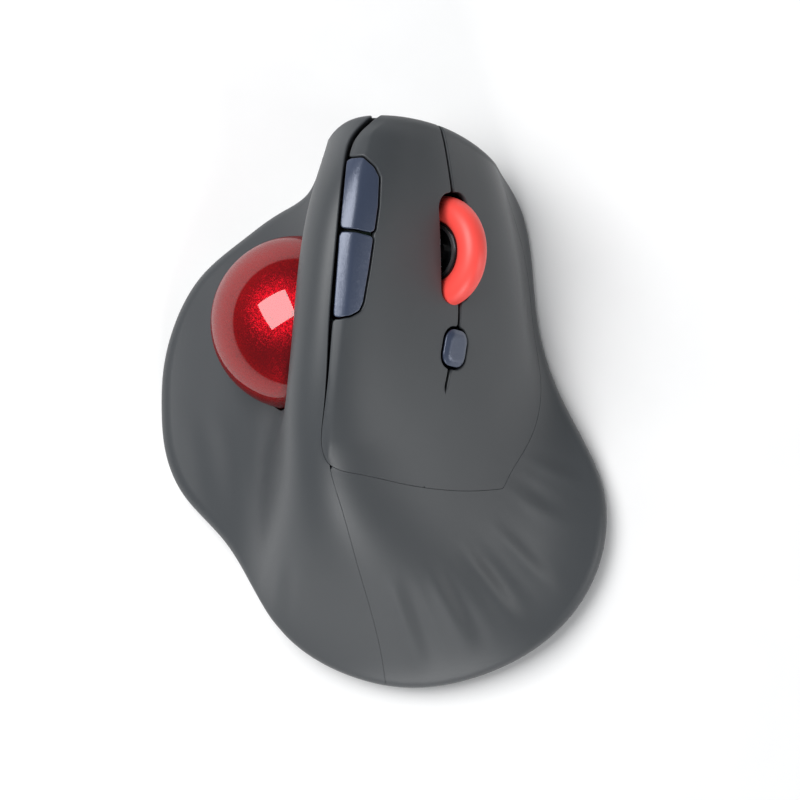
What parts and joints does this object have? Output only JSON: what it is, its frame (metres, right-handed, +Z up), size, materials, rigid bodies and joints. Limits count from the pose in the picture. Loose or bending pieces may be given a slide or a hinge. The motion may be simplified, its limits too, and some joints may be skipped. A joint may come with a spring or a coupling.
{
  "type": "trackball mouse",
  "caption": "Right-handed ergonomic thumb-ball pointing device with two main buttons, a tilted scroll wheel, side buttons, a small resolution button and a stowed radio receiver.",
  "frame": {"origin": "middle of the footprint, on the desk under the glide feet", "axes": "+Z up, +Y towards the front where the buttons are, +X towards the right flank"},
  "size_m": [0.0898, 0.1118, 0.056],
  "materials": {
    "casing_coat": "soft-touch satin coat",
    "base_black": "fine moulded texture",
    "button_blue": "satin, slightly metallic",
    "ball_red": "pearlescent sparkle under a polished coat",
    "core_red": "plain resin",
    "wheel_rubber": "smooth coral rubber",
    "hub_black": "polished",
    "ring_chrome": "polished",
    "steel": "zinc plated",
    "bead_ceramic": "polished ceramic",
    "lens_clear": "clear",
    "board_green": "solder mask",
    "switch_black": "moulded",
    "battery_wrap": "printed-free wrap",
    "receiver_black": "fine moulded texture",
    "glide_ptfe": "low friction sheet"
  },
  "bodies": {
    "casing": {"base_plate": "base_black", "thumb_shell": "casing_coat", "palm_shell": "casing_coat", "key_bridge": "casing_coat", "key_frame": "base_black", "ball_cup": "base_black", "cup_bearings": "bead_ceramic", "sensor_lens": "lens_clear", "ball_sensor": "switch_black", "sensor_board": "board_green", "wheel_switch": "switch_black", "switch_deck": "board_green", "left_switch": "switch_black", "right_switch": "switch_black", "dpi_switch": "switch_black", "side_board": "board_green", "side_switches": "switch_black", "main_board": "board_green", "radio_chip": "switch_black", "board_screws": "steel", "case_screws": "steel", "glide_feet": "glide_ptfe", "battery": "battery_wrap", "battery_spring": "steel", "battery_contact": "steel", "power_switch": "switch_black"},
    "left_button": {"left_button": "casing_coat"},
    "right_button": {"right_button": "casing_coat"},
    "forward_button": {"forward_button": "button_blue"},
    "back_button": {"back_button": "button_blue"},
    "dpi_button": {"dpi_button": "button_blue"},
    "wheel_mount": {"wheel_carrier": "base_black", "wheel_encoder": "switch_black"},
    "wheel": {"wheel_tyre": "wheel_rubber", "wheel_hub": "hub_black", "wheel_ring": "ring_chrome", "wheel_axle": "steel"},
    "ball": {"ball_shell": "ball_red"},
    "ball_inner": {"ball_core": "core_red"},
    "battery_door": {"battery_door": "base_black"},
    "power_knob": {"power_knob": "button_blue"},
    "receiver": {"receiver_cap": "receiver_black", "receiver_plug": "steel", "receiver_tongue": "receiver_black"}
  },
  "joints": [
    {"name": "left_click", "type": "hinge", "parent": "casing", "child": "left_button", "pos_m": [0.01, 0.00306, 0.0356], "axis": [-0.929, 0, 0.37], "range_deg": [0, 0.8], "stiffness_Nm_per_rad": 3},
    {"name": "right_click", "type": "hinge", "parent": "casing", "child": "right_button", "pos_m": [0.02, 0.00306, 0.0184], "axis": [-0.6612, 0, 0.7502], "range_deg": [0, 0.8], "stiffness_Nm_per_rad": 3},
    {"name": "forward_press", "type": "slide", "parent": "casing", "child": "forward_button", "axis": [0, 0, -1], "range_m": [0, 0.0005], "stiffness_N_per_m": 1200},
    {"name": "back_press", "type": "slide", "parent": "casing", "child": "back_button", "axis": [0, 0, -1], "range_m": [0, 0.0005], "stiffness_N_per_m": 1200},
    {"name": "dpi_press", "type": "slide", "parent": "casing", "child": "dpi_button", "axis": [-0.7071, 0, -0.7071], "range_m": [0, 0.0005], "stiffness_N_per_m": 1200},
    {"name": "wheel_press", "type": "slide", "parent": "casing", "child": "wheel_mount", "axis": [-0.7071, 0, -0.7071], "range_m": [0, 0.0005], "stiffness_N_per_m": 2500},
    {"name": "wheel_spin", "type": "hinge", "parent": "wheel_mount", "child": "wheel", "pos_m": [0.01124, 0.0305, 0.03528], "axis": [0.7071, 0, -0.7071], "continuous": true},
    {"name": "ball_pitch", "type": "hinge", "parent": "casing", "child": "ball", "pos_m": [-0.0168, 0.01715, 0.024], "axis": [0, 1, 0], "continuous": true},
    {"name": "ball_yaw", "type": "hinge", "parent": "ball", "child": "ball_inner", "pos_m": [-0.0168, 0.01715, 0.024], "axis": [0.6, 0, 0.8], "continuous": true},
    {"name": "door_lift", "type": "slide", "parent": "casing", "child": "battery_door", "axis": [0, 0, -1], "range_m": [0, 0.02]},
    {"name": "power_slide", "type": "slide", "parent": "casing", "child": "power_knob", "axis": [0, 1, 0], "range_m": [0, 0.003]},
    {"name": "receiver_pull", "type": "slide", "parent": "casing", "child": "receiver", "axis": [0, 0, -1], "range_m": [0, 0.022]}
  ]
}
